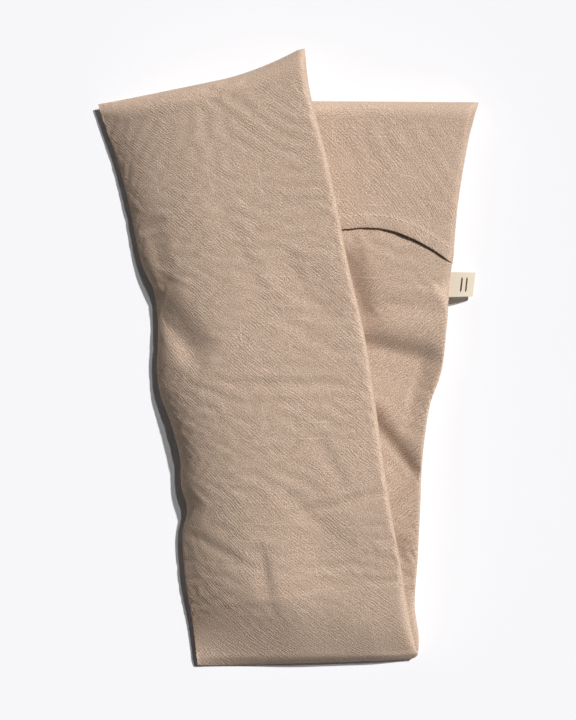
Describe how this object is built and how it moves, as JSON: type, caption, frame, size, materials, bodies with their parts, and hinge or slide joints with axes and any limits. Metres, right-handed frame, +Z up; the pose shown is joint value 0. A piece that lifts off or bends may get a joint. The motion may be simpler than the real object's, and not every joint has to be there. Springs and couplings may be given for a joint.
{
  "type": "eye pillow",
  "caption": "Long linen eye pillow filled with seeds, folded in half, with an envelope closure and a small side label.",
  "frame": {"origin": "middle of the folded pillow's outline, on the surface it lies on", "axes": "+Z up, +Y from the fold towards the two open ends, +X towards the side that carries the label"},
  "size_m": [0.1943, 0.3142, 0.0356],
  "materials": {
    "linen": "plain-woven natural linen, matt",
    "cotton": "plain-woven undyed cotton, matt",
    "seeds": "dry flax seeds and lavender buds, satin",
    "thread": "spun sewing thread, matt",
    "ribbon": "woven cotton tape, matt"
  },
  "bodies": {
    "lower_half": {"front_panel_lower": "linen", "back_panel_lower": "linen", "envelope_flap": "linen", "insert_front_lower": "cotton", "insert_back_lower": "cotton", "seed_fill_lower": "seeds", "side_seam_left_lower": "thread", "side_seam_right_lower": "thread", "end_seam_lower": "thread", "back_hem_stitch": "thread", "flap_hem_stitch": "thread"},
    "flap_lip": {"flap_lip": "linen", "lip_hem_stitch": "thread"},
    "side_label": {"side_label": "ribbon"},
    "fold": {"front_panel_fold": "linen", "insert_fold": "cotton", "back_panel_fold": "linen"},
    "upper_slope": {"front_panel_slope": "linen", "back_panel_slope": "linen", "insert_front_slope": "cotton", "insert_back_slope": "cotton", "seed_fill_slope": "seeds", "side_seam_left_slope": "thread", "side_seam_right_slope": "thread"},
    "upper_half": {"front_panel_upper": "linen", "back_panel_upper": "linen", "insert_front_upper": "cotton", "insert_back_upper": "cotton", "seed_fill_upper": "seeds", "side_seam_left_upper": "thread", "side_seam_right_upper": "thread", "end_seam_upper": "thread"}
  },
  "joints": [
    {"name": "fold_lower", "type": "hinge", "parent": "lower_half", "child": "fold", "pos_m": [0.0096, -0.1552, 0], "axis": [0.9995, 0.0332, 0], "range_deg": [0, 90]},
    {"name": "fold_upper", "type": "hinge", "parent": "fold", "child": "upper_slope", "pos_m": [0.0096, -0.1552, 0.0103], "axis": [0.9995, 0.0332, 0], "range_deg": [0, 67.32]},
    {"name": "upper_flex", "type": "hinge", "parent": "upper_slope", "child": "upper_half", "pos_m": [-0.00158, -0.09905, 0.03185], "axis": [0.9579, 0.2832, 0.0469], "range_deg": [0, 24.46]},
    {"name": "flap_lift", "type": "hinge", "parent": "lower_half", "child": "flap_lip", "pos_m": [0.05394, 0.09444, 0.01621], "axis": [-0.9921, 0.1095, -0.0605], "range_deg": [0, 35]},
    {"name": "label_flick", "type": "hinge", "parent": "lower_half", "child": "side_label", "pos_m": [0.08124, 0.03811, 0.0075], "axis": [-0.1097, -0.994, 0], "range_deg": [-25, 90], "stiffness_Nm_per_rad": 0.001}
  ],
  "couplings": [
    {"joint": "fold_upper", "follows": "fold_lower", "ratio": 0.7469},
    {"joint": "upper_flex", "follows": "fold_lower", "ratio": 0.2707}
  ]
}
